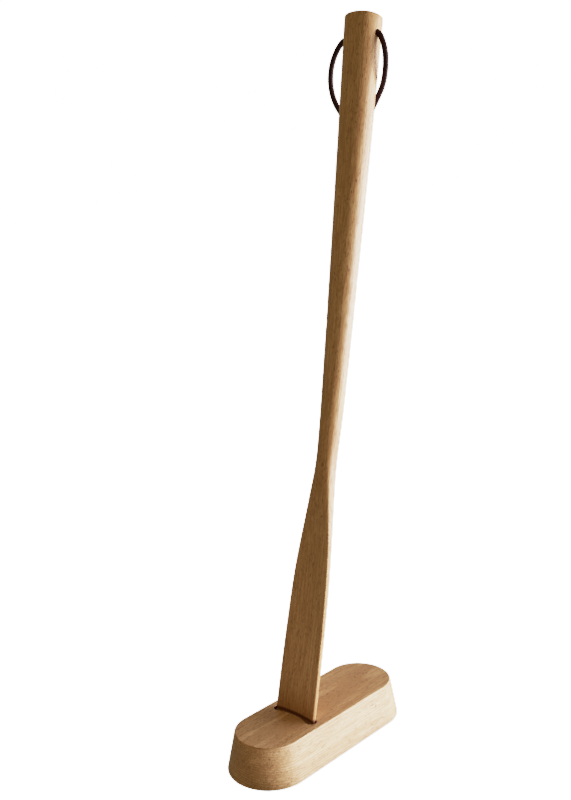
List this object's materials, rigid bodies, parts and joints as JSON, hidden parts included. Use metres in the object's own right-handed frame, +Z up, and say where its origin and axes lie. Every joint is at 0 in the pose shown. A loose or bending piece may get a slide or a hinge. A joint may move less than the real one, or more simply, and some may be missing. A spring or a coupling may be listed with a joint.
{
  "type": "long shoehorn",
  "caption": "Long wooden shoehorn with a round tapering handle and a curved blade, standing in a slot in a solid wooden base, with a knotted leather hanging cord.",
  "frame": {"origin": "on the floor, under the middle of the base", "axes": "+Z up; +X along the base, towards the side that the shoehorn leans to; Y across the base"},
  "size_m": [0.1718, 0.0693, 0.5546],
  "materials": {
    "base_wood": "smooth satin beech, straight fine grain along the block",
    "horn_wood": "smooth satin beech, grain along the handle",
    "pad_felt": "pressed felt",
    "cord_leather": "dull dark brown round leather"
  },
  "bodies": {
    "stand": {"base_block": "base_wood", "foot_pad_1": "pad_felt", "foot_pad_2": "pad_felt", "foot_pad_3": "pad_felt", "foot_pad_4": "pad_felt"},
    "shoehorn": {"shoehorn": "horn_wood"},
    "cord": {"cord_bore_run": "cord_leather", "cord_near_strand": "cord_leather", "cord_far_strand": "cord_leather", "cord_knot": "cord_leather", "cord_near_tail": "cord_leather", "cord_far_tail": "cord_leather"}
  },
  "joints": [
    {"name": "shoehorn_lift", "type": "slide", "parent": "stand", "child": "shoehorn", "axis": [0.1908, 0, 0.9816], "range_m": [0, 0.06]},
    {"name": "cord_swing", "type": "hinge", "parent": "shoehorn", "child": "cord", "pos_m": [0.06554, 0, 0.53924], "axis": [0, -1, 0], "range_deg": [0, 320]}
  ]
}
